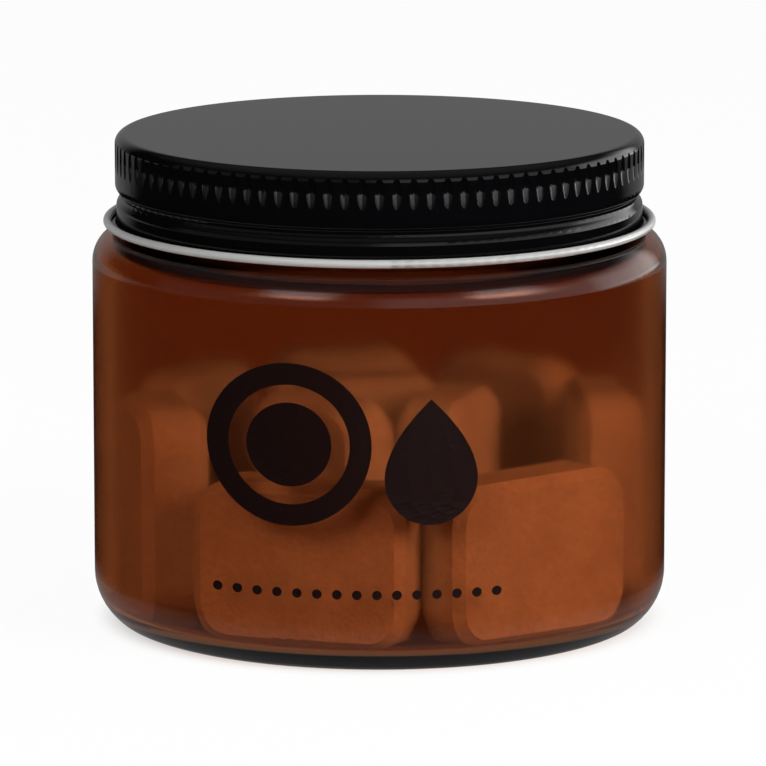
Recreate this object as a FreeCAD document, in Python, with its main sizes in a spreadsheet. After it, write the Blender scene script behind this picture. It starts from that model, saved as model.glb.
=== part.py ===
import FreeCAD, Part
import math
import os
import Sketcher

# Wide amber glass jar with a lacquered sheet-metal screw lid, a liner disc in the
# lid, and a heap of pressed dishwasher tablets standing inside it.
# Frame: origin at the middle of the foot, +Z up, the front of the jar faces -Y.

SIZES = [
    ("jar_radius", "46.0"),
    ("wall", "3.2"),
    ("base_thickness", "3.2"),
    ("heel_radius", "9.2"),
    ("foot_radius", "3.4"),
    ("heel_angle", "50.0"),
    ("inner_heel_radius", "2.4"),
    ("foot_width", "7.0"),
    ("push_up", "0.8"),
    ("shoulder_height", "63.3"),
    ("shoulder_radius", "5.2"),
    ("neck_radius", "39.3"),
    ("neck_wall", "3.3"),
    ("neck_root_radius", "0.9"),
    ("bore_edge_radius", "1.4"),
    ("finish_height", "13.85"),
    ("lip_radius", "1.1"),
    ("thread_pitch", "5.08"),
    ("bead_radius", "1.3"),
    ("bead_reach", "1.3"),
    ("bead_turns", "1.2"),
    ("bead_lead", "20.0"),
    ("end_swell", "0.05"),
    ("lid_radius", "42.3"),
    ("lid_height", "14.7"),
    ("sheet", "0.3"),
    ("corner_radius", "1.6"),
    ("bulge_radius", "1.6"),
    ("groove_depth", "9.9"),
    ("groove_reach", "0.75"),
    ("groove_radius", "1.2"),
    ("skirt_radius", "42.1"),
    ("curl_radius", "0.65"),
    ("curl_reach", "44.2"),
    ("gutter_radius", "0.35"),
    ("flute_count", "100"),
    ("flute_radius", "1.0"),
    ("flute_depth", "0.4"),
    ("flute_top", "0.7"),
    ("flute_length", "5.2"),
    ("ridge_radius", "1.3"),
    ("ridge_grip", "0.65"),
    ("ridge_height", "2.7"),
    ("ridge_start", "15.0"),
    ("ridge_sweep", "150.0"),
    ("thread_gap", "0.25"),
    ("seat_gap", "0.1"),
    ("liner_thickness", "1.0"),
    ("liner_gap", "0.3"),
    ("tablet_length", "34.0"),
    ("tablet_width", "25.5"),
    ("tablet_thickness", "10.0"),
    ("tablet_corner", "6.0"),
    ("tablet_bevel", "1.5"),
    ("tablet_gap", "0.3"),
    ("heap_turn", "10.5"),
]

doc = FreeCAD.newDocument("tablet_jar")
sheet = doc.addObject("Spreadsheet::Sheet", "Sizes")
for row, (name, value) in enumerate(SIZES, start=1):
    sheet.set("A%d" % row, name)
    sheet.set("B%d" % row, value)
    sheet.setAlias("B%d" % row, name)
doc.recompute()

# Heights and radii that several pieces share, written in terms of the sheet.
RIM = "(Sizes.shoulder_height + Sizes.finish_height)"
LINER_BOTTOM = "(%s + Sizes.seat_gap)" % RIM
LID_UNDERSIDE = "(%s + Sizes.liner_thickness + Sizes.seat_gap)" % LINER_BOTTOM
LID_TOP = "(%s + Sizes.sheet)" % LID_UNDERSIDE
LID_BOTTOM = "(%s - Sizes.lid_height)" % LID_TOP
SKIRT_END = "(%s + 2 * Sizes.curl_radius)" % LID_BOTTOM
CURL_HEIGHT = "(%s + Sizes.curl_radius)" % LID_BOTTOM
BORE = "(Sizes.jar_radius - Sizes.wall)"
NECK_BORE = "(Sizes.neck_radius - Sizes.neck_wall)"
BEAD_CENTRE = "(Sizes.neck_radius + Sizes.bead_reach - Sizes.bead_radius)"
THREAD_CREST = "(Sizes.neck_radius + Sizes.bead_reach - Sizes.ridge_grip)"
RIDGE_CENTRE = "(%s + Sizes.sheet + Sizes.ridge_radius)" % THREAD_CREST
RIDGE_LOW = "(%s + Sizes.ridge_height)" % LID_BOTTOM
THREAD_REACH = "(Sizes.bead_radius + Sizes.ridge_radius + Sizes.sheet + Sizes.thread_gap)"
THREAD_OFFSET = "sqrt(%s ^ 2 - (%s - %s) ^ 2)" % (THREAD_REACH, RIDGE_CENTRE, BEAD_CENTRE)
BEAD_LOW = "(%s + %s - Sizes.thread_pitch * Sizes.bead_lead / 360)" % (RIDGE_LOW, THREAD_OFFSET)


# How far a bulge and a hollow of the lid's waist turn before they meet.
SWAY = "(Sizes.bulge_radius + Sizes.groove_radius)"
WAIST_COS = "(1 - Sizes.groove_reach / %s)" % SWAY
SKIRT_COS = "(1 - (Sizes.skirt_radius - Sizes.lid_radius + Sizes.groove_reach) / %s)" % SWAY


def number(expression):
    """The value of an expression on the sheet, in millimetres or degrees."""
    value = sheet.evalExpression(expression.replace("Sizes.", ""))
    return float(getattr(value, "Value", value))


def origin_part(body, role):
    """One of the body's own origin planes or axes."""
    return next(f for f in body.Origin.OriginFeatures if f.Role == role)


def minor_arc(start, end, radius, side):
    """Arc of less than half a turn from start to end; side +1 turns left, -1 right."""
    (ax, az), (bx, bz) = start, end
    half = math.hypot(bx - ax, bz - az) / 2
    rise = math.sqrt(max(radius ** 2 - half ** 2, 0.0))
    ux, uz = (bx - ax) / (2 * half), (bz - az) / (2 * half)
    cx = (ax + bx) / 2 - side * rise * uz
    cz = (az + bz) / 2 + side * rise * ux
    first = math.atan2(az - cz, ax - cx)
    last = math.atan2(bz - cz, bx - cx)
    if side < 0:
        first, last = last, first
    if last < first:
        last += 2 * math.pi
    circle = Part.Circle(FreeCAD.Vector(cx, cz, 0), FreeCAD.Vector(0, 0, 1), radius)
    return Part.ArcOfCircle(circle, first, last)


def pin_point(sketch, geo, end, across, up):
    """Tie one end of a sketch edge to its two coordinates."""
    for kind, axis, text in (("DistanceX", -2, across), ("DistanceY", -1, up)):
        if text == "0":
            sketch.addConstraint(Sketcher.Constraint("PointOnObject", geo, end, axis))
        else:
            index = sketch.addConstraint(
                Sketcher.Constraint(kind, -1, 1, geo, end, number(text)))
            sketch.setExpression("Constraints[%d]" % index, text)


def outline(body, name, steps):
    """Closed sketch on the XZ plane. A step is (across, up) for a straight run to that
    point, or (across, up, radius, side) for an arc to it; each entry is an expression."""
    sketch = body.newObject("Sketcher::SketchObject", name)
    sketch.AttachmentSupport = [(origin_part(body, "XZ_Plane"), "")]
    sketch.MapMode = "FlatFace"
    places = [(number(step[0]), number(step[1])) for step in steps]
    ends = []
    for i, step in enumerate(steps):
        start, end = places[i - 1], places[i]
        if len(step) == 2:
            geo = sketch.addGeometry(Part.LineSegment(
                FreeCAD.Vector(*start, 0), FreeCAD.Vector(*end, 0)), False)
            ends.append((geo, 1, 2))
        else:
            geo = sketch.addGeometry(minor_arc(start, end, number(step[2]), step[3]), False)
            ends.append((geo, 1, 2) if step[3] > 0 else (geo, 2, 1))
    for i, (geo, first, last) in enumerate(ends):
        before, _, tail = ends[i - 1]
        sketch.addConstraint(Sketcher.Constraint("Coincident", before, tail, geo, first))
        pin_point(sketch, geo, last, steps[i][0], steps[i][1])
        if len(steps[i]) == 4:
            index = sketch.addConstraint(
                Sketcher.Constraint("Radius", geo, number(steps[i][2])))
            sketch.setExpression("Constraints[%d]" % index, steps[i][2])
    return sketch


def revolved(name, steps):
    """A body turned once about the jar's axis from a closed outline."""
    body = doc.addObject("PartDesign::Body", name)
    sketch = outline(body, name + "_outline", steps)
    feature = body.newObject("PartDesign::Revolution", name + "_revolution")
    feature.Profile = sketch
    feature.ReferenceAxis = (origin_part(body, "Z_Axis"), [""])
    feature.Angle = 360
    doc.recompute()
    return body


def fluted(body, inset):
    """Press the band of upright flutes into a lid body, set in by inset: one leaf-shaped
    groove, turned from a spindle that stands beside the lid, and patterned round."""
    name = body.Name + "_flute"
    axis = "(Sizes.lid_radius - Sizes.flute_depth + Sizes.flute_radius)"
    middle = "(%s - Sizes.flute_top - Sizes.flute_length / 2)" % LID_TOP
    belly = "(((Sizes.flute_length / 2) ^ 2 + Sizes.flute_depth ^ 2) / (2 * Sizes.flute_depth))"
    reach = "sqrt((%s + %s) ^ 2 - (%s - Sizes.flute_radius) ^ 2)" % (belly, inset, belly)
    sketch = outline(body, name, [
        (axis, "%s - %s" % (middle, reach)),
        (axis, "%s + %s" % (middle, reach), "%s + %s" % (belly, inset), -1),
    ])
    across = number(axis)
    line = sketch.addGeometry(Part.LineSegment(
        FreeCAD.Vector(across, number("%s - %s" % (middle, reach)), 0),
        FreeCAD.Vector(across, number("%s + %s" % (middle, reach)), 0)), True)
    sketch.addConstraint(Sketcher.Constraint("Coincident", line, 1, 0, 2))
    sketch.addConstraint(Sketcher.Constraint("Coincident", line, 2, 0, 1))
    groove = body.newObject("PartDesign::Groove", name + "_groove")
    groove.Profile = sketch
    groove.ReferenceAxis = (sketch, ["Axis0"])
    groove.Angle = 360
    doc.recompute()
    pattern = body.newObject("PartDesign::PolarPattern", name + "_pattern")
    pattern.Originals = [groove]
    pattern.Axis = (origin_part(body, "Z_Axis"), [""])
    pattern.Angle = 360
    pattern.setExpression("Occurrences", "Sizes.flute_count")
    body.Tip = pattern
    doc.recompute()
    return body


def helical_bead(name, centre, radius, low, start, sweep):
    """A round bead along a right-hand helix with ball ends. centre is the helix's own
    radius, low the height of its lower end, start and sweep are in degrees."""
    helix = doc.addObject("Part::Helix", name + "_helix")
    helix.setExpression("Radius", centre)
    helix.setExpression("Pitch", "Sizes.thread_pitch")
    helix.setExpression("Height", "Sizes.thread_pitch * (%s) / 360" % sweep)
    section = doc.addObject("Part::Circle", name + "_section")
    section.setExpression("Radius", radius)
    section.Placement = FreeCAD.Placement(
        FreeCAD.Vector(0, 0, 0), FreeCAD.Rotation(FreeCAD.Vector(1, 0, 0), 90))
    section.setExpression("Placement.Base.x", centre)
    tube = doc.addObject("Part::Sweep", name + "_tube")
    tube.Sections = [section]
    tube.Spine = (helix, ["Edge1"])
    tube.Solid = True
    tube.Frenet = True
    balls = []
    for label, turn in (("low", "0"), ("high", sweep)):
        ball = doc.addObject("Part::Sphere", "%s_%s_end" % (name, label))
        ball.setExpression("Radius", "%s + Sizes.end_swell" % radius)
        ball.setExpression("Placement.Base.x", "%s * cos((%s) * 1 deg)" % (centre, turn))
        ball.setExpression("Placement.Base.y", "%s * sin((%s) * 1 deg)" % (centre, turn))
        ball.setExpression("Placement.Base.z", "Sizes.thread_pitch * (%s) / 360" % turn)
        balls.append(ball)
    bead = doc.addObject("Part::MultiFuse", name)
    bead.Shapes = [tube] + balls
    bead.Placement = FreeCAD.Placement(
        FreeCAD.Vector(0, 0, 0), FreeCAD.Rotation(FreeCAD.Vector(0, 0, 1), number(start)))
    bead.setExpression("Placement.Base.z", low)
    doc.recompute()
    return bead


def make_jar():
    """Blown and pressed glass: heavy foot with a push-up, straight wall, rounded
    shoulder, and a neck with a lip and one turn of thread."""
    turn = "Sizes.heel_angle * 1 deg"
    small = "(Sizes.heel_radius - Sizes.foot_radius)"
    foot_x = "(Sizes.jar_radius - Sizes.heel_radius + %s * cos(%s))" % (small, turn)
    heel_z = "(Sizes.foot_radius + %s * sin(%s))" % (small, turn)
    join_x = "(%s + Sizes.foot_radius * cos(%s))" % (foot_x, turn)
    join_z = "(Sizes.foot_radius - Sizes.foot_radius * sin(%s))" % turn
    push_x = "(%s - Sizes.foot_width)" % foot_x
    push_radius = "((%s ^ 2 + Sizes.push_up ^ 2) / (2 * Sizes.push_up))" % push_x
    inner_shoulder = "(Sizes.shoulder_radius - Sizes.wall)"
    under_shoulder = "(Sizes.shoulder_height - Sizes.wall)"
    blank = revolved("jar_blank", [
        ("0", "Sizes.push_up"),
        (push_x, "0", push_radius, -1),
        (foot_x, "0"),
        (join_x, join_z, "Sizes.foot_radius", 1),
        ("Sizes.jar_radius", heel_z, "Sizes.heel_radius", 1),
        ("Sizes.jar_radius", "Sizes.shoulder_height - Sizes.shoulder_radius"),
        ("Sizes.jar_radius - Sizes.shoulder_radius", "Sizes.shoulder_height",
         "Sizes.shoulder_radius", 1),
        ("Sizes.neck_radius + Sizes.neck_root_radius", "Sizes.shoulder_height"),
        ("Sizes.neck_radius", "Sizes.shoulder_height + Sizes.neck_root_radius",
         "Sizes.neck_root_radius", -1),
        ("Sizes.neck_radius", RIM + " - Sizes.lip_radius"),
        ("Sizes.neck_radius - Sizes.lip_radius", RIM, "Sizes.lip_radius", 1),
        (NECK_BORE + " + Sizes.lip_radius", RIM),
        (NECK_BORE, RIM + " - Sizes.lip_radius", "Sizes.lip_radius", 1),
        (NECK_BORE, under_shoulder + " + Sizes.bore_edge_radius"),
        (NECK_BORE + " + Sizes.bore_edge_radius", under_shoulder,
         "Sizes.bore_edge_radius", 1),
        ("%s - %s" % (BORE, inner_shoulder), under_shoulder),
        (BORE, "%s - %s" % (under_shoulder, inner_shoulder), inner_shoulder, -1),
        (BORE, "Sizes.base_thickness + Sizes.inner_heel_radius"),
        (BORE + " - Sizes.inner_heel_radius", "Sizes.base_thickness",
         "Sizes.inner_heel_radius", -1),
        ("0", "Sizes.base_thickness"),
    ])
    bead = helical_bead("jar_thread", BEAD_CENTRE, "Sizes.bead_radius", BEAD_LOW,
                        "Sizes.ridge_start - Sizes.bead_lead", "Sizes.bead_turns * 360")
    jar = doc.addObject("Part::Fuse", "jar")
    jar.Base = blank
    jar.Tool = bead
    return jar


def lid_skin(name, inset, floor):
    """The lid's surface of revolution, set in by inset, with its flutes. Below the
    fluted band it sways into the waist groove and out again to the skirt, each time by
    a bulge and a hollow that meet in one tangent. floor is where it is cut off below."""
    top = "%s - %s" % (LID_TOP, inset)
    side = "Sizes.lid_radius - %s" % inset
    waist = "Sizes.lid_radius - Sizes.groove_reach - %s" % inset
    skirt = "Sizes.skirt_radius - %s" % inset
    corner = "Sizes.corner_radius - %s" % inset
    bulge = "(Sizes.bulge_radius - %s)" % inset
    hollow = "(Sizes.groove_radius + %s)" % inset
    groove = "(%s - Sizes.groove_depth)" % LID_TOP
    rise = "sqrt(1 - %s ^ 2)" % WAIST_COS
    fall = "sqrt(1 - %s ^ 2)" % SKIRT_COS
    body = revolved(name, [
        ("0", floor),
        (skirt, floor),
        (skirt, "%s - %s * %s" % (groove, SWAY, fall)),
        ("Sizes.skirt_radius - Sizes.bulge_radius + %s * %s" % (bulge, SKIRT_COS),
         "%s - (%s - %s) * %s" % (groove, SWAY, bulge, fall), bulge, 1),
        (waist, groove, hollow, -1),
        ("Sizes.lid_radius - Sizes.bulge_radius + %s * %s" % (bulge, WAIST_COS),
         "%s + (%s - %s) * %s" % (groove, SWAY, bulge, rise), hollow, -1),
        (side, "%s + %s * %s" % (groove, SWAY, rise), bulge, 1),
        (side, "%s - Sizes.corner_radius" % LID_TOP),
        ("Sizes.lid_radius - Sizes.corner_radius", top, corner, 1),
        ("0", top),
    ])
    return fluted(body, inset)


def make_lid():
    """Pressed sheet: a skin of even thickness, then the outward curl on its edge."""
    skins = []
    for name, inset, floor in (("lid_outside", "0", SKIRT_END),
                               ("lid_hollow", "Sizes.sheet", CURL_HEIGHT)):
        body = lid_skin(name, inset, floor)
        valley = helical_bead(name + "_valley", RIDGE_CENTRE,
                              "(Sizes.ridge_radius + %s)" % inset, RIDGE_LOW,
                              "Sizes.ridge_start", "Sizes.ridge_sweep")
        skin = doc.addObject("Part::Cut", name + "_skin")
        skin.Base = body
        skin.Tool = valley
        skins.append(skin)
    shell = doc.addObject("Part::Cut", "lid_shell")
    shell.Base, shell.Tool = skins
    lid = doc.addObject("Part::Fuse", "lid")
    lid.Base = shell
    lid.Tool = make_curl()
    return lid


def make_curl():
    """The edge of the skirt turned out into a gutter and rolled up into a small tube."""
    centre = "(Sizes.curl_reach - Sizes.curl_radius)"
    inner = "(Sizes.curl_radius - Sizes.sheet)"
    skirt = "Sizes.skirt_radius"
    floor = LID_BOTTOM
    deck = "(%s + Sizes.sheet)" % LID_BOTTOM
    bend = "(Sizes.gutter_radius + Sizes.sheet)"
    return revolved("lid_curl", [
        (skirt + " - Sizes.sheet", SKIRT_END),
        (skirt + " - Sizes.sheet", "%s + Sizes.gutter_radius" % deck),
        ("%s + Sizes.gutter_radius" % skirt, floor, bend, 1),
        (centre, floor),
        ("Sizes.curl_reach", CURL_HEIGHT, "Sizes.curl_radius", 1),
        (centre, "%s + Sizes.curl_radius" % CURL_HEIGHT, "Sizes.curl_radius", 1),
        ("%s - Sizes.curl_radius" % centre, CURL_HEIGHT, "Sizes.curl_radius", 1),
        ("%s - %s" % (centre, inner), CURL_HEIGHT),
        (centre, "%s + %s" % (CURL_HEIGHT, inner), inner, -1),
        ("%s + %s" % (centre, inner), CURL_HEIGHT, inner, -1),
        (centre, deck, inner, -1),
        ("%s + Sizes.gutter_radius" % skirt, deck),
        (skirt, "%s + Sizes.gutter_radius" % deck, "Sizes.gutter_radius", -1),
        (skirt, SKIRT_END),
    ])


def make_liner():
    """Plain sealing disc that lies in the lid and presses on the lip of the jar."""
    body = doc.addObject("PartDesign::Body", "liner")
    radius = "Sizes.lid_radius - Sizes.corner_radius - Sizes.liner_gap"
    sketch = body.newObject("Sketcher::SketchObject", "liner_outline")
    sketch.AttachmentSupport = [(origin_part(body, "XY_Plane"), "")]
    sketch.MapMode = "FlatFace"
    circle = sketch.addGeometry(Part.Circle(
        FreeCAD.Vector(0, 0, 0), FreeCAD.Vector(0, 0, 1), number(radius)), False)
    sketch.addConstraint(Sketcher.Constraint("Coincident", circle, 3, -1, 1))
    index = sketch.addConstraint(Sketcher.Constraint("Radius", circle, number(radius)))
    sketch.setExpression("Constraints[%d]" % index, radius)
    sketch.setExpression("AttachmentOffset.Base.z", LINER_BOTTOM)
    pad = body.newObject("PartDesign::Pad", "liner_pad")
    pad.Profile = sketch
    pad.setExpression("Length", "Sizes.liner_thickness")
    doc.recompute()
    return body


def rounded_rectangle(body, name, across, up, corner):
    """Sketch of a rectangle with round corners, centred on the body's own origin."""
    half_x, half_y = "%s / 2" % across, "%s / 2" % up
    sketch = body.newObject("Sketcher::SketchObject", name)
    sketch.AttachmentSupport = [(origin_part(body, "XZ_Plane"), "")]
    sketch.MapMode = "FlatFace"
    x, y, r = number(half_x), number(half_y), number(corner)
    # Runs from the right-hand side upwards, each side followed by its corner.
    corners = [((x, r - y), (x, y - r), (x - r, y)), ((x - r, y), (r - x, y), (-x, y - r)),
               ((-x, y - r), (-x, r - y), (r - x, -y)), ((r - x, -y), (x - r, -y), (x, r - y))]
    sides, bends = [], []
    for start, end, after in corners:
        sides.append(sketch.addGeometry(Part.LineSegment(
            FreeCAD.Vector(*start, 0), FreeCAD.Vector(*end, 0)), False))
        bends.append(sketch.addGeometry(minor_arc(end, after, r, 1), False))
    for i in range(4):
        sketch.addConstraint(Sketcher.Constraint("Tangent", sides[i], 2, bends[i], 1))
        sketch.addConstraint(Sketcher.Constraint("Tangent", bends[i - 1], 2, sides[i], 1))
    for i in (1, 2, 3):
        sketch.addConstraint(Sketcher.Constraint("Equal", bends[0], bends[i]))
    sketch.addConstraint(Sketcher.Constraint("Vertical", sides[0]))
    sketch.addConstraint(Sketcher.Constraint("Symmetric", sides[0], 1, sides[2], 1, -1, 1))
    for kind, geo, end, text in (("Radius", bends[0], None, corner),
                                 ("DistanceX", sides[0], 1, half_x),
                                 ("DistanceY", sides[1], 1, half_y)):
        if end is None:
            limit = Sketcher.Constraint(kind, geo, number(text))
        else:
            limit = Sketcher.Constraint(kind, -1, 1, geo, end, number(text))
        index = sketch.addConstraint(limit)
        sketch.setExpression("Constraints[%d]" % index, text)
    return sketch


def make_tablet(name, upright):
    """Pressed block with round corners and bevelled faces, its broad face towards -Y.
    It stands on its short edge if upright, else on its long edge."""
    across, up = "Sizes.tablet_length", "Sizes.tablet_width"
    if upright:
        across, up = up, across
    body = doc.addObject("PartDesign::Body", name)
    sketch = rounded_rectangle(body, name + "_face", across, up, "Sizes.tablet_corner")
    pad = body.newObject("PartDesign::Pad", name + "_pad")
    pad.Profile = sketch
    pad.Midplane = True
    pad.setExpression("Length", "Sizes.tablet_thickness")
    doc.recompute()
    broad = []
    for i, face in enumerate(pad.Shape.Faces, start=1):
        if abs(face.normalAt(0, 0).y) > 0.99:
            broad.append("Face%d" % i)
    bevel = body.newObject("PartDesign::Chamfer", name + "_bevel")
    bevel.Base = (pad, broad)
    bevel.setExpression("Size", "Sizes.tablet_bevel")
    doc.recompute()
    return body


def corner_angle(half_width, inner_face):
    """Half the angle, in degrees, that a tablet takes up in its ring: it is met first
    at the two bevelled corners of its inner face."""
    bevel, gap = number("Sizes.tablet_bevel"), number("Sizes.tablet_gap")
    angles = []
    for x, y in ((half_width, inner_face + bevel), (half_width - bevel, inner_face)):
        reach = math.hypot(x, y)
        angles.append(math.degrees(math.atan2(x, y) + math.asin(gap / 2 / reach)))
    return max(angles)


def wall_seat(half_width):
    """Distance from the axis to the outer face of a tablet whose corners meet the wall."""
    bevel = number("Sizes.tablet_bevel")
    limit = number(BORE) - number("Sizes.tablet_gap")
    return min(math.sqrt(limit ** 2 - (half_width - bevel) ** 2),
               bevel + math.sqrt(limit ** 2 - half_width ** 2))


def ring_places():
    """Ring against the wall: two tablets on their long edges meet at the front, and as
    many as fit stand on their short edges round the rest. Gives (upright, turn, radius),
    turn in degrees from the front towards the right."""
    thick = number("Sizes.tablet_thickness")
    seats = {}
    for upright, size in ((False, "Sizes.tablet_length"), (True, "Sizes.tablet_width")):
        outer = wall_seat(number(size) / 2)
        seats[upright] = (outer - thick / 2, corner_angle(number(size) / 2, outer - thick))
    lying, standing = seats[False], seats[True]
    room = 360 - 4 * lying[1]
    count = int(room // (2 * standing[1]))
    spare = (room - count * 2 * standing[1]) / (count + 1)
    front = number("Sizes.heap_turn")
    places = [(False, front - lying[1], lying[0]), (False, front + lying[1], lying[0])]
    turn = front + 2 * lying[1] + spare + standing[1]
    for _ in range(count):
        places.append((True, turn, standing[0]))
        turn += spare + 2 * standing[1]
    inner_face = min(lying[0], standing[0]) - thick / 2
    return places, inner_face


def heart_places(inner_face):
    """Tablets that stand back to back in the middle, turned towards the gaps of the
    ring: three if their outer corners clear the ring, else two or one."""
    thick, gap = number("Sizes.tablet_thickness"), number("Sizes.tablet_gap")
    half, bevel = number("Sizes.tablet_width") / 2, number("Sizes.tablet_bevel")
    for count in (3, 2, 1):
        share = math.radians(180 / count)
        inner = -thick / 2
        if count > 1:
            edge_angle = share - math.asin(gap / 2 / half)
            inner = max(gap / 2, half / math.tan(edge_angle) - bevel,
                        (half - bevel) / math.tan(edge_angle))
        outer = inner + thick
        reach = max(math.hypot(half, outer - bevel), math.hypot(half - bevel, outer))
        if reach <= inner_face - gap:
            break
    front = number("Sizes.heap_turn")
    return [(True, front + (i + 0.5) * 360 / count, inner + thick / 2)
            for i in range(count)]


def make_tablets():
    """The whole heap, every tablet standing on the floor of the jar."""
    ring, inner_face = ring_places()
    tablets = []
    for i, (upright, turn, radius) in enumerate(ring + heart_places(inner_face), start=1):
        tablet = make_tablet("tablet_%02d" % i, upright)
        height = number("Sizes.tablet_length" if upright else "Sizes.tablet_width")
        angle = math.radians(turn)
        place = FreeCAD.Vector(radius * math.sin(angle), -radius * math.cos(angle),
                               number("Sizes.base_thickness") + height / 2)
        tablet.Placement = FreeCAD.Placement(
            place, FreeCAD.Rotation(FreeCAD.Vector(0, 0, 1), turn))
        tablets.append(tablet)
    doc.recompute()
    return tablets


def check_document():
    """Stop if any feature failed or any shape is empty or broken."""
    for item in doc.Objects:
        if "Invalid" in item.State or "Error" in item.State:
            raise RuntimeError("%s failed: %s" % (item.Name, item.State))
        if item.isDerivedFrom("Part::Feature") and item.Shape.isNull():
            raise RuntimeError("%s has no shape" % item.Name)


def check_cuts():
    """Stop if the flutes or the rolled thread removed nothing from the lid."""
    for name in ("lid_outside", "lid_hollow"):
        plain = doc.getObject(name + "_revolution").Shape.Volume
        pressed = doc.getObject(name + "_flute_pattern").Shape.Volume
        rolled = doc.getObject(name + "_skin").Shape.Volume
        if not plain > pressed > rolled:
            raise RuntimeError("%s was not pressed or rolled" % name)


def write_parts(pieces):
    """Write each piece to its own file, named as the piece is."""
    os.makedirs("parts", exist_ok=True)
    for piece in pieces:
        piece.Label = piece.Name
        if not piece.Shape.isValid() or len(piece.Shape.Solids) != 1:
            raise RuntimeError("%s is not one sound solid" % piece.Name)
        piece.Shape.exportStep("parts/%s.step" % piece.Name)
        print("%-10s %9.1f mm3" % (piece.Name, piece.Shape.Volume))


pieces = [make_jar(), make_liner(), make_lid()] + make_tablets()
doc.recompute()
check_document()
check_cuts()
write_parts(pieces)
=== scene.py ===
"""Looks of a screw-top jar of dishwasher tablets: amber glass, black tin lid, foam seal, pressed tablets."""

import logging
import math
from dataclasses import dataclass
from enum import Enum
from typing import Any, Union

import bpy
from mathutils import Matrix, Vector


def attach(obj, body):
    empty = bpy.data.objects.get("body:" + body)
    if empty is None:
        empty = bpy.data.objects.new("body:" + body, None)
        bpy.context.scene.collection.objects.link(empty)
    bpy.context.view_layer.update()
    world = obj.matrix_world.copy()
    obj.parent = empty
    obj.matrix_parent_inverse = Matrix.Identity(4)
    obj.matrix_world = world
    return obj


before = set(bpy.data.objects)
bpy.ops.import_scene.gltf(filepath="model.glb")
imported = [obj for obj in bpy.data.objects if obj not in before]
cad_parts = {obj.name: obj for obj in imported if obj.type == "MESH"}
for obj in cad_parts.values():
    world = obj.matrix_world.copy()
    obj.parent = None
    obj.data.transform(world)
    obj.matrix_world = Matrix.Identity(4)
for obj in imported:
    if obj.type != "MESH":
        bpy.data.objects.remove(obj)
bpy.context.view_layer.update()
log = logging.getLogger("tablet_jar")

MM = 0.001

Tree = bpy.types.NodeTree
Socket = bpy.types.NodeSocket
Value = Union[Socket, float]
Span = tuple[float, float]


class Body(str, Enum):
    """The moving body that the added pieces ride on."""

    JAR = "jar"


class Blend(str, Enum):
    """How one level leads to another, as Blender names it."""

    STRAIGHT = "LINEAR"
    SMOOTH = "SMOOTHSTEP"


def linear(code: str) -> tuple[float, float, float, float]:
    """Turns an sRGB hex colour into the linear colour that a shader takes.

    Args:
        code: The colour as six hex digits, such as "5a3010".

    Returns:
        Red, green, blue and an alpha of 1.
    """
    parts = [int(code[i : i + 2], 16) / 255 for i in (0, 2, 4)]
    red, green, blue = (
        p / 12.92 if p <= 0.04045 else ((p + 0.055) / 1.055) ** 2.4 for p in parts
    )
    return red, green, blue, 1.0


def add_node(
    tree: Tree,
    kind: str,
    settings: dict[str, Any] | None = None,
    sockets: dict[str | int, Any] | None = None,
) -> bpy.types.Node:
    """Adds a node, with its settings, its values and its links.

    Args:
        tree: The node tree that gets the node.
        kind: Blender's name of the node type, without "ShaderNode".
        settings: The node's own properties.
        sockets: Its inputs by name or number: a plain value, or the output that feeds it.

    Returns:
        The new node.
    """
    node = tree.nodes.new("ShaderNode" + kind)
    for name, value in (settings or {}).items():
        setattr(node, name, value)
    for name, value in (sockets or {}).items():
        if isinstance(value, Socket):
            tree.links.new(value, node.inputs[name])
        else:
            node.inputs[name].default_value = value
    return node


def noise(tree: Tree, place: Socket, size_mm: float, detail: float) -> Socket:
    """Adds a cloudy pattern.

    Args:
        tree: The node tree that gets the node.
        place: The coordinates it is laid out on.
        size_mm: The size of its patches.
        detail: How much finer pattern is laid over it.

    Returns:
        The pattern's level.
    """
    sockets = {"Vector": place, "Scale": 1 / (size_mm * MM), "Detail": detail}
    return add_node(tree, "TexNoise", sockets=sockets).outputs["Fac"]


def relief(tree: Tree, height: Socket, depth_mm: float) -> Socket:
    """Makes a fine relief of a pattern.

    Args:
        tree: The node tree that gets the node.
        height: The pattern.
        depth_mm: How deep the relief is.

    Returns:
        The surface's bent normal.
    """
    sockets = {"Height": height, "Strength": 1.0, "Distance": depth_mm * MM}
    return add_node(tree, "Bump", sockets=sockets).outputs["Normal"]


def spread(
    tree: Tree,
    value: Socket,
    levels: Span = (0.0, 1.0),
    span: Span = (0.0, 1.0),
    shape: Blend = Blend.STRAIGHT,
) -> Socket:
    """Leads from one level to another as a value crosses a span.

    Args:
        tree: The node tree that gets the node.
        value: What is looked at.
        levels: The levels before and after the span.
        span: Where the change starts and ends.
        shape: How it changes.

    Returns:
        The level.
    """
    sockets = {
        "Value": value,
        "From Min": span[0],
        "From Max": span[1],
        "To Min": levels[0],
        "To Max": levels[1],
    }
    settings = {"interpolation_type": shape.value}
    return add_node(tree, "MapRange", settings, sockets).outputs["Result"]


def ramp(tree: Tree, value: Socket, span: Span, levels: Span) -> Socket:
    """Blends smoothly from one level to another as a value crosses a span.

    Args:
        tree: The node tree that gets the node.
        value: What is looked at.
        span: Where the blend starts and ends.
        levels: The levels before and after it.

    Returns:
        The blended level.
    """
    return spread(tree, value, levels, span, Blend.SMOOTH)


def mixed_colour(tree: Tree, share: Socket, first: str, second: str) -> Socket:
    """Blends two colours.

    Args:
        tree: The node tree that gets the node.
        share: The second colour's share.
        first: A colour as six hex digits.
        second: Another colour.

    Returns:
        The blended colour.
    """
    sockets = {0: share, 6: linear(first), 7: linear(second)}
    return add_node(tree, "Mix", {"data_type": "RGBA"}, sockets).outputs[2]


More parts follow.
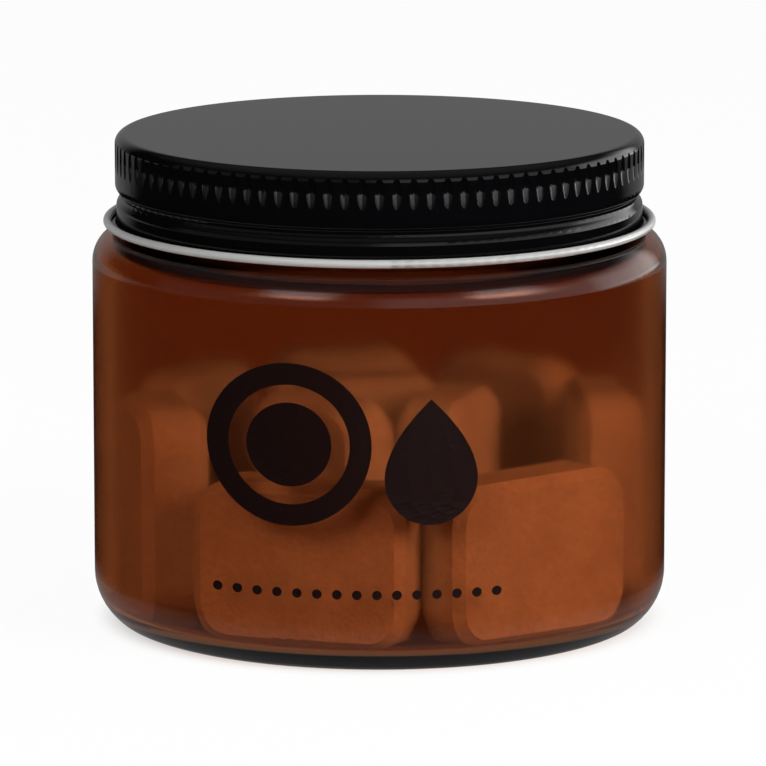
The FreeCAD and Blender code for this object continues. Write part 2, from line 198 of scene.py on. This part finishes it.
def choose(tree: Tree, test: Socket, otherwise: Value, chosen: Value) -> Socket:
    """Picks between two numbers, or blends them.

    Args:
        tree: The node tree that gets the node.
        test: A socket that goes from 0 to 1.
        otherwise: The number or socket taken at 0.
        chosen: The number or socket taken at 1.

    Returns:
        The picked number.
    """
    sockets = {0: test, 2: otherwise, 3: chosen}
    return add_node(tree, "Mix", {"data_type": "FLOAT"}, sockets).outputs[0]


def combined(tree: Tree, operation: str, first: Value, *others: Value) -> Socket:
    """Works through several numbers or sockets, two at a time.

    Args:
        tree: The node tree that gets the nodes.
        operation: What is done with each pair, as Blender names it.
        first: The first number or socket.
        others: The rest.

    Returns:
        The result.
    """
    for other in others:
        sockets = {0: first, 1: other}
        first = add_node(tree, "Math", {"operation": operation}, sockets).outputs["Value"]
    return first


def product(tree: Tree, *factors: Value) -> Socket:
    """Multiplies several numbers or sockets.

    Args:
        tree: The node tree that gets the nodes.
        factors: What is multiplied.

    Returns:
        The product.
    """
    return combined(tree, "MULTIPLY", *factors)


def largest(tree: Tree, *values: Value) -> Socket:
    """Takes the largest of several numbers or sockets.

    Args:
        tree: The node tree that gets the nodes.
        values: What is compared.

    Returns:
        The largest value.
    """
    return combined(tree, "MAXIMUM", *values)


def either(tree: Tree, share: Value, first: Socket, second: Socket) -> Socket:
    """Blends two shaders.

    Args:
        tree: The node tree that gets the node.
        share: The second shader's share.
        first: A shader.
        second: Another shader.

    Returns:
        The blended shader.
    """
    return add_node(tree, "MixShader", sockets={0: share, 1: first, 2: second}).outputs["Shader"]


def new_material(name: str) -> tuple[bpy.types.Material, Tree, Socket]:
    """Makes an empty node material.

    Args:
        name: The name of the finish.

    Returns:
        The material, its node tree and the object's own coordinates.
    """
    material = bpy.data.materials.new(name)
    material.use_nodes = True
    tree = material.node_tree
    tree.nodes.clear()
    return material, tree, add_node(tree, "TexCoord").outputs["Object"]


def principled(tree: Tree, sockets: dict[str, Any]) -> Socket:
    """Adds the all-round surface shader.

    Args:
        tree: The node tree that gets the node.
        sockets: Its inputs.

    Returns:
        The shader.
    """
    return add_node(tree, "BsdfPrincipled", sockets=sockets).outputs["BSDF"]


def paint(node: str, material: bpy.types.Material) -> None:
    """Gives a carried-over CAD node a finish and reports it.

    Args:
        node: The name of the CAD node.
        material: Its finish.
    """
    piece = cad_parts[node]
    piece.data.materials.clear()
    piece.data.materials.append(material)
    log.info("%s is finished in %s", node, material.name)


def deselect_all() -> None:
    """Deselects every object, so that an operator acts on the new piece alone."""
    if bpy.context.mode != "OBJECT":
        bpy.ops.object.mode_set(mode="OBJECT")
    bpy.ops.object.select_all(action="DESELECT")


@dataclass(frozen=True)
class AmberGlass:
    """Container glass blown into a mould: brown, the darker the thicker, with a faint ripple and haze."""

    tint: str = "9b633d"
    depth_tint: str = "d9a55a"
    depth: float = 150.0
    lamp_tint: str = "ffffff"
    index: float = 1.5
    haze: Span = (0.08, 0.15)
    ripple_mm: float = 14.0
    ripple_depth_mm: float = 0.03

    def build(self) -> bpy.types.Material:
        """Builds the glass.

        Returns:
            The material.
        """
        material, tree, place = new_material("amber container glass")
        ripple = noise(tree, place, self.ripple_mm, 1.0)
        glass = principled(
            tree,
            {
                "Base Color": linear(self.tint),
                "Roughness": spread(tree, ripple, self.haze),
                "IOR": self.index,
                "Transmission Weight": 1.0,
                "Normal": relief(tree, ripple, self.ripple_depth_mm),
            },
        )
        lit_through = add_node(
            tree, "BsdfTransparent", sockets={"Color": linear(self.lamp_tint)}
        )
        ray = add_node(tree, "LightPath")
        surface = either(
            tree, ray.outputs["Is Shadow Ray"], glass, lit_through.outputs["BSDF"]
        )
        depth = add_node(
            tree,
            "VolumeAbsorption",
            sockets={"Color": linear(self.depth_tint), "Density": self.depth},
        )
        add_node(
            tree,
            "OutputMaterial",
            sockets={"Surface": surface, "Volume": depth.outputs["Volume"]},
        )
        return material


@dataclass(frozen=True)
class LacqueredTinplate:
    """Pressed tinplate: glossy black lacquer, glassier where it pooled in the flutes, and a bare curl."""

    lacquer: str = "040405"
    metal: str = "e0e0de"
    gloss: Span = (0.05, 0.1)
    grain_mm: float = 0.5
    grain_depth_mm: float = 0.004
    index: float = 1.5
    bare_span_mm: Span = (43.1, 43.2)
    bare_roughness: float = 0.36
    bare_shine: float = 0.6
    pooled_span_mm: Span = (42.05, 42.15)
    pooled_roughness: float = 0.03
    flutes_middle_mm: float = 73.7
    flutes_half_mm: float = 2.7

    def pooled(self, tree: Tree, place: Socket, reach: Socket) -> Socket:
        """Finds the bottoms of the flutes.

        Args:
            tree: The node tree that gets the nodes.
            place: The object's own coordinates.
            reach: The distance from the lid's axis.

        Returns:
            A socket that is 1 in the flutes.
        """
        height = add_node(tree, "SeparateXYZ", sockets={0: place}).outputs["Z"]
        groove = spread(tree, reach, (1.0, 0.0), [edge * MM for edge in self.pooled_span_mm])
        band = add_node(
            tree,
            "Math",
            {"operation": "COMPARE"},
            {0: height, 1: self.flutes_middle_mm * MM, 2: self.flutes_half_mm * MM},
        )
        return product(tree, groove, band.outputs["Value"])

    def build(self) -> bpy.types.Material:
        """Builds the lacquer and the bare edge.

        Returns:
            The material.
        """
        material, tree, place = new_material("lacquered tinplate")
        grain = noise(tree, place, self.grain_mm, 2.0)
        flat = add_node(
            tree, "VectorMath", {"operation": "MULTIPLY"}, {0: place, 1: (1.0, 1.0, 0.0)}
        )
        reach = add_node(
            tree, "VectorMath", {"operation": "LENGTH"}, {0: flat.outputs["Vector"]}
        ).outputs["Value"]
        bare = ramp(tree, reach, [edge * MM for edge in self.bare_span_mm], (0.0, 1.0))
        surface = principled(
            tree,
            {
                "Base Color": mixed_colour(tree, bare, self.lacquer, self.metal),
                "Metallic": product(tree, bare, self.bare_shine),
                "Roughness": choose(
                    tree, bare, spread(tree, grain, self.gloss), self.bare_roughness
                ),
                "Coat Weight": self.pooled(tree, place, reach),
                "Coat Roughness": self.pooled_roughness,
                "IOR": self.index,
                "Normal": relief(tree, grain, self.grain_depth_mm),
            },
        )
        add_node(tree, "OutputMaterial", sockets={"Surface": surface})
        return material


@dataclass(frozen=True)
class LinerFoam:
    """Expanded polyethylene foam, skived into sheet: soft white, with fine closed cells."""

    colour: str = "efede8"
    shade: str = "dcd9d2"
    cell_mm: float = 0.5
    cell_depth_mm: float = 0.06
    roughness: float = 0.75
    index: float = 1.5

    def build(self) -> bpy.types.Material:
        """Builds the foam.

        Returns:
            The material.
        """
        material, tree, place = new_material("polyethylene foam")
        cells = add_node(
            tree, "TexVoronoi", sockets={"Vector": place, "Scale": 1 / (self.cell_mm * MM)}
        ).outputs["Distance"]
        surface = principled(
            tree,
            {
                "Base Color": mixed_colour(tree, cells, self.shade, self.colour),
                "Roughness": self.roughness,
                "IOR": self.index,
                "Normal": relief(tree, cells, self.cell_depth_mm),
            },
        )
        add_node(tree, "OutputMaterial", sockets={"Surface": surface})
        return material


@dataclass(frozen=True)
class PressedPowder:
    """Washing powder, pressed into a tablet: matt, faintly bluish white with a crumbly, mottled grain."""

    colour: str = "e6eff8"
    shade: str = "ccd4dc"
    grain_mm: float = 0.7
    grain_depth_mm: float = 0.12
    patch_mm: float = 9.0
    mottle_span: Span = (0.12, 0.4)
    roughness: float = 0.85
    index: float = 1.5

    def build(self) -> bpy.types.Material:
        """Builds the pressed powder.

        Returns:
            The material.
        """
        material, tree, place = new_material("pressed powder")
        patches = noise(tree, place, self.patch_mm, 3.0)
        grain = noise(tree, place, self.grain_mm, 3.0)
        mottle = spread(tree, product(tree, patches, grain), span=self.mottle_span)
        surface = principled(
            tree,
            {
                "Base Color": mixed_colour(tree, mottle, self.shade, self.colour),
                "Roughness": self.roughness,
                "IOR": self.index,
                "Normal": relief(tree, grain, self.grain_depth_mm),
            },
        )
        add_node(tree, "OutputMaterial", sockets={"Surface": surface})
        return material


@dataclass(frozen=True)
class ScreenInk:
    """Ceramic ink, screen-printed and fired on: nearly black, satin, with the mesh's fine stipple."""

    colour: str = "0c0201"
    worn: str = "180503"
    dot_mm: float = 0.35
    dot_depth_mm: float = 0.005
    roughness: float = 0.38
    index: float = 1.5

    def build(self) -> bpy.types.Material:
        """Builds the ink.

        Returns:
            The material.
        """
        material, tree, place = new_material("screen-printed ceramic ink")
        dots = noise(tree, place, self.dot_mm, 2.0)
        surface = principled(
            tree,
            {
                "Base Color": mixed_colour(tree, dots, self.colour, self.worn),
                "Roughness": self.roughness,
                "IOR": self.index,
                "Normal": relief(tree, dots, self.dot_depth_mm),
            },
        )
        add_node(tree, "OutputMaterial", sockets={"Surface": surface})
        return material


@dataclass
class Print:
    """The print on the front of the glass, in mm: a plate with a drop of water, and a dotted line below."""

    height: float = 36.4
    plate_x: float = -14.0
    plate_radius: float = 12.8
    rim_width: float = 3.4
    well_radius: float = 6.6
    drop_x: float = 8.0
    drop_sag: float = 5.2
    drop_radius: float = 7.2
    drop_top: float = 12.6
    drop_draw: float = 1.55
    dot_row: float = 13.0
    dot_radius: float = 0.75
    dot_pitch: float = 3.1
    dot_count: int = 15
    dot_middle: float = -3.5
    reach: float = 60.0
    corners: int = 96
    cuts: int = 3
    sliver: float = 0.01
    ink_gap: float = 0.02
    ink_thickness: float = 0.06

    def disc(self, name: str, x: float, z: float, radius: float) -> bpy.types.Object:
        """Lays a flat round patch in front of the jar, facing it.

        Args:
            name: The piece's name.
            x: Its centre across the front.
            z: Its centre's height.
            radius: Its radius.

        Returns:
            The patch.
        """
        deselect_all()
        bpy.ops.mesh.primitive_circle_add(
            vertices=self.corners,
            radius=radius * MM,
            fill_type="NGON",
            location=(x * MM, -self.reach * MM, z * MM),
            rotation=(math.pi / 2, 0, 0),
        )
        patch = bpy.context.object
        patch.name = patch.data.name = name
        bpy.ops.object.transform_apply(location=True, rotation=True, scale=True)
        return patch

    def hollow(self) -> None:
        """Cuts the middle out of the patch that was laid last, so that the plate's rim is left."""
        bpy.ops.object.mode_set(mode="EDIT")
        bpy.ops.mesh.select_mode(type="FACE")
        bpy.ops.mesh.select_all(action="SELECT")
        bpy.ops.mesh.inset(thickness=self.rim_width * MM)
        bpy.ops.mesh.delete(type="FACE")
        bpy.ops.object.mode_set(mode="OBJECT")

    def sharpen(self, patch: bpy.types.Object) -> None:
        """Draws the top of a round patch up to a point, as a drop of water.

        Args:
            patch: The round patch.
        """
        lowest = max(v.co.z for v in patch.data.vertices) - self.sliver * MM
        bpy.ops.object.mode_set(mode="EDIT")
        bpy.ops.mesh.select_all(action="DESELECT")
        bpy.ops.object.mode_set(mode="OBJECT")
        for vertex in patch.data.vertices:
            vertex.select = vertex.co.z > lowest
        bpy.ops.object.mode_set(mode="EDIT")
        bpy.ops.mesh.select_mode(type="VERT")
        bpy.ops.transform.translate(
            value=(0, 0, (self.drop_top - self.drop_radius) * MM),
            use_proportional_edit=True,
            proportional_edit_falloff="SHARP",
            proportional_size=self.drop_draw * self.drop_radius * MM,
        )
        bpy.ops.object.mode_set(mode="OBJECT")

    def lay_on(self, patch: bpy.types.Object) -> None:
        """Wraps a flat patch on the glass and gives it the ink's thickness.

        Args:
            patch: The patch in front of the jar.
        """
        deselect_all()
        patch.select_set(True)
        bpy.context.view_layer.objects.active = patch
        bpy.ops.object.mode_set(mode="EDIT")
        bpy.ops.mesh.select_all(action="SELECT")
        bpy.ops.mesh.quads_convert_to_tris(ngon_method="BEAUTY")
        bpy.ops.mesh.subdivide(number_cuts=self.cuts)
        bpy.ops.object.mode_set(mode="OBJECT")
        wrap = patch.modifiers.new("wrap", "SHRINKWRAP")
        wrap.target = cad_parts["jar"]
        wrap.wrap_method = "PROJECT"
        wrap.use_project_y = True
        wrap.use_positive_direction = True
        wrap.offset = self.ink_gap * MM
        bpy.ops.object.modifier_apply(modifier=wrap.name)
        ink = patch.modifiers.new("ink", "SOLIDIFY")
        ink.thickness = self.ink_thickness * MM
        ink.offset = 1.0
        bpy.ops.object.modifier_apply(modifier=ink.name)

    def build(self, ink: bpy.types.Material) -> None:
        """Builds the print's pieces on the glass.

        Args:
            ink: The ink they are printed in.
        """
        rim = self.disc("print_plate_rim", self.plate_x, self.height, self.plate_radius)
        self.hollow()
        well = self.disc("print_plate_well", self.plate_x, self.height, self.well_radius)
        drop = self.disc(
            "print_drop", self.drop_x, self.height - self.drop_sag, self.drop_radius
        )
        self.sharpen(drop)
        patches = [rim, well, drop]
        for step in range(self.dot_count):
            x = self.dot_middle + (step - (self.dot_count - 1) / 2) * self.dot_pitch
            patches.append(
                self.disc(f"print_dot_{step + 1:02d}", x, self.dot_row, self.dot_radius)
            )
        for patch in patches:
            self.lay_on(patch)
            patch.data.materials.append(ink)
            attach(patch, Body.JAR.value)
            log.info("%s is printed on the glass", patch.name)


@dataclass
class GlassJar:
    """The amber jar with its screw neck, and the print on it."""

    glass: AmberGlass = AmberGlass()
    ink: ScreenInk = ScreenInk()

    def dress(self) -> None:
        """Gives the jar its glass and its print."""
        paint("jar", self.glass.build())
        Print().build(self.ink.build())


@dataclass
class ScrewLid:
    """The pressed tin lid with its fluted rim, and the foam seal inside."""

    tin: LacqueredTinplate = LacqueredTinplate()
    foam: LinerFoam = LinerFoam()

    def dress(self) -> None:
        """Gives the lid its lacquer and the seal its foam."""
        paint("lid", self.tin.build())
        paint("liner", self.foam.build())


@dataclass
class TabletHeap:
    """The loose tablets in the jar."""

    count: int = 10
    powder: PressedPowder = PressedPowder()

    def dress(self) -> None:
        """Gives each tablet its pressed powder."""
        finish = self.powder.build()
        for number in range(1, self.count + 1):
            paint(f"tablet_{number:02d}", finish)


@dataclass(frozen=True)
class SoftLamp:
    """A square area lamp that faces the jar. Glossy surfaces don't show it."""

    name: str
    place: tuple[float, float, float]
    power: float
    size: float = 0.5
    aim_height: float = 0.04

    def build(self) -> None:
        """Hangs the lamp."""
        light = bpy.data.lights.new(self.name, "AREA")
        light.shape = "SQUARE"
        light.size = self.size
        light.energy = self.power
        holder = bpy.data.objects.new(self.name, light)
        bpy.context.scene.collection.objects.link(holder)
        holder.location = self.place
        aim = Vector((0, 0, self.aim_height)) - Vector(self.place)
        holder.rotation_euler = aim.to_track_quat("-Z", "Y").to_euler()
        holder.visible_glossy = False
        log.info("%s hangs at %s", self.name, self.place)


@dataclass
class Studio:
    """A plain pale floor under soft light.

    What is mirrored is darker than what is seen: nearly black in front, as round a product that is lit from
    the side, and pale behind and at the right. Directions are told by how far they point to the right, to the
    back and up, from -1 to 1, and places on the floor in metres.
    """

    half_width: float = 3.0
    floor_colour: str = "e9e9e8"
    even: float = 0.95
    under_level: float = 0.4
    under_span: Span = (0.040, 0.047)
    ambient: float = 0.5
    dark: float = 0.006
    overhead: float = 0.2
    overhead_rise: Span = (0.4, 1.0)
    floor_back: float = 0.2
    floor_back_span: Span = (0.24, 0.36)
    beside_level: float = 0.22
    beside_span: Span = (0.05, 0.075)
    back_level: float = 0.3
    back_depth: Span = (0.7, 0.95)
    back_rise: Span = (0.3, 0.5)
    back_faint: float = 0.1
    side_level: float = 2.0
    side_start: Span = (-0.1, 0.25)
    side_end: Span = (0.75, 0.9)
    side_right: Span = (0.2, 0.5)
    front_level: float = 0.75
    left_level: float = 0.15
    front_right: Span = (-0.15, 0.15)
    front_end: Span = (0.0, 0.3)
    room_rise: Span = (0.25, 0.55)
    room_faint: float = 0.03
    open_floor_span: Span = (0.6, 1.1)

    def seen_directly(self, tree: Tree, ray: bpy.types.Node) -> Socket:
        """Tells which rays see the background as plain white: the camera's and those through glass.

        Args:
            tree: The node tree that gets the nodes.
            ray: The node that tells the kinds of rays.

        Returns:
            A socket that is 1 for those rays.
        """
        return largest(tree, ray.outputs["Is Camera Ray"], ray.outputs["Is Transmission Ray"])

    def surroundings(self, tree: Tree, x: Socket, y: Socket) -> Socket:
        """Sets how bright the room is mirrored by its direction: bright at the right, dim at the left.

        Args:
            tree: The node tree that gets the nodes.
            x: How far the direction points to the right.
            y: How far it points to the back.

        Returns:
            The level in that direction.
        """
        side = product(
            tree,
            ramp(tree, y, self.side_start, (0.0, self.side_level)),
            ramp(tree, y, self.side_end, (1.0, 0.0)),
            ramp(tree, x, self.side_right, (0.0, 1.0)),
        )
        front = product(
            tree,
            ramp(tree, x, self.front_right, (self.left_level, self.front_level)),
            ramp(tree, y, self.front_end, (1.0, 0.0)),
        )
        return largest(tree, side, front)

    def floor(self) -> None:
        """Lays the floor. It shows white, keeps the jar's soft shadow, and is mirrored dark in front."""
        deselect_all()
        bpy.ops.mesh.primitive_grid_add(
            x_subdivisions=8, y_subdivisions=8, size=2 * self.half_width
        )
        piece = bpy.context.object
        piece.name = "floor"
        material, tree, place = new_material("pale floor")
        ray = add_node(tree, "LightPath")
        split = add_node(tree, "SeparateXYZ", sockets={0: place})
        reach = add_node(
            tree, "VectorMath", {"operation": "LENGTH"}, {0: place}
        ).outputs["Value"]
        ahead = add_node(tree, "VectorMath", {"operation": "NORMALIZE"}, {0: place})
        way = add_node(tree, "SeparateXYZ", sockets={0: ahead.outputs["Vector"]})
        mirrored = largest(
            tree,
            ramp(
                tree, split.outputs["Y"], self.floor_back_span, (self.dark, self.floor_back)
            ),
            ramp(tree, reach, self.beside_span, (self.beside_level, 0.0)),
            product(
                tree,
                self.surroundings(tree, way.outputs["X"], way.outputs["Y"]),
                ramp(tree, reach, self.open_floor_span, (0.0, 1.0)),
            ),
        )
        matt = add_node(tree, "BsdfDiffuse", sockets={"Color": linear(self.floor_colour)})
        dim = add_node(tree, "Emission", sockets={"Strength": mirrored})
        white = add_node(tree, "Emission")
        unseen = either(
            tree,
            ray.outputs["Is Glossy Ray"],
            matt.outputs["BSDF"],
            dim.outputs["Emission"],
        )
        level = product(
            tree,
            self.seen_directly(tree, ray),
            ramp(tree, reach, self.under_span, (self.under_level, self.even)),
        )
        surface = either(tree, level, unseen, white.outputs["Emission"])
        add_node(tree, "OutputMaterial", sockets={"Surface": surface})
        piece.data.materials.append(material)

    def world(self) -> None:
        """Surrounds the scene: white when seen, with pale zones when mirrored, and soft light otherwise."""
        world = bpy.data.worlds.new("studio")
        bpy.context.scene.world = world
        world.use_nodes = True
        tree = world.node_tree
        tree.nodes.clear()
        ray = add_node(tree, "LightPath")
        place = add_node(tree, "TexCoord").outputs["Generated"]
        split = add_node(tree, "SeparateXYZ", sockets={0: place})
        x, y, z = (split.outputs[axis] for axis in "XYZ")
        mirrored = largest(
            tree,
            product(
                tree,
                ramp(tree, y, self.back_depth, (0.0, self.back_level)),
                ramp(tree, z, self.back_rise, (1.0, self.back_faint)),
            ),
            product(
                tree,
                self.surroundings(tree, x, y),
                ramp(tree, z, self.room_rise, (1.0, self.room_faint)),
            ),
            ramp(tree, z, self.overhead_rise, (self.dark, self.overhead)),
        )
        around = choose(tree, ray.outputs["Is Diffuse Ray"], mirrored, self.ambient)
        level = choose(tree, self.seen_directly(tree, ray), around, 1.0)
        sky = add_node(tree, "Background", sockets={"Strength": level})
        add_node(tree, "OutputWorld", sockets={"Surface": sky.outputs["Background"]})

    def build(self) -> None:
        """Builds the floor, the surroundings and the lamps, and sets the plain view transform."""
        self.floor()
        self.world()
        SoftLamp("key_lamp", (0.85, -0.65, 0.5), 15.5).build()
        SoftLamp("fill_lamp", (-0.6, -0.9, 0.6), 7.0).build()
        bpy.context.scene.view_settings.view_transform = "Standard"


@dataclass
class PhotoCamera:
    """The camera, at the photograph's angle and distance, in degrees, metres and mm of film."""

    elevation: float = 10.729
    distance: float = 1.08026
    aim_height: float = 0.037762
    lens: float = 315.57
    sensor: float = 36.0
    shift_x: float = 0.0046
    clip: Span = (0.05, 20.0)

    def build(self) -> None:
        """Places the camera and makes it the scene's own."""
        data = bpy.data.cameras.new("camera")
        data.sensor_width = self.sensor
        data.lens = self.lens
        data.shift_x = self.shift_x
        data.clip_start, data.clip_end = self.clip
        camera = bpy.data.objects.new("camera", data)
        bpy.context.scene.collection.objects.link(camera)
        tilt = math.radians(self.elevation)
        back = Vector((0.0, -math.cos(tilt), math.sin(tilt)))
        camera.location = Vector((0, 0, self.aim_height)) + back * self.distance
        camera.rotation_euler = (math.pi / 2 - tilt, 0.0, 0.0)
        bpy.context.scene.camera = camera


def main() -> None:
    """Builds the camera and the studio, and dresses the jar, the tablets and the lid."""
    logging.basicConfig(level=logging.INFO, format="%(name)s: %(message)s")
    PhotoCamera().build()
    Studio().build()
    GlassJar().dress()
    TabletHeap().dress()
    ScrewLid().dress()


if __name__ == "__main__":
    main()
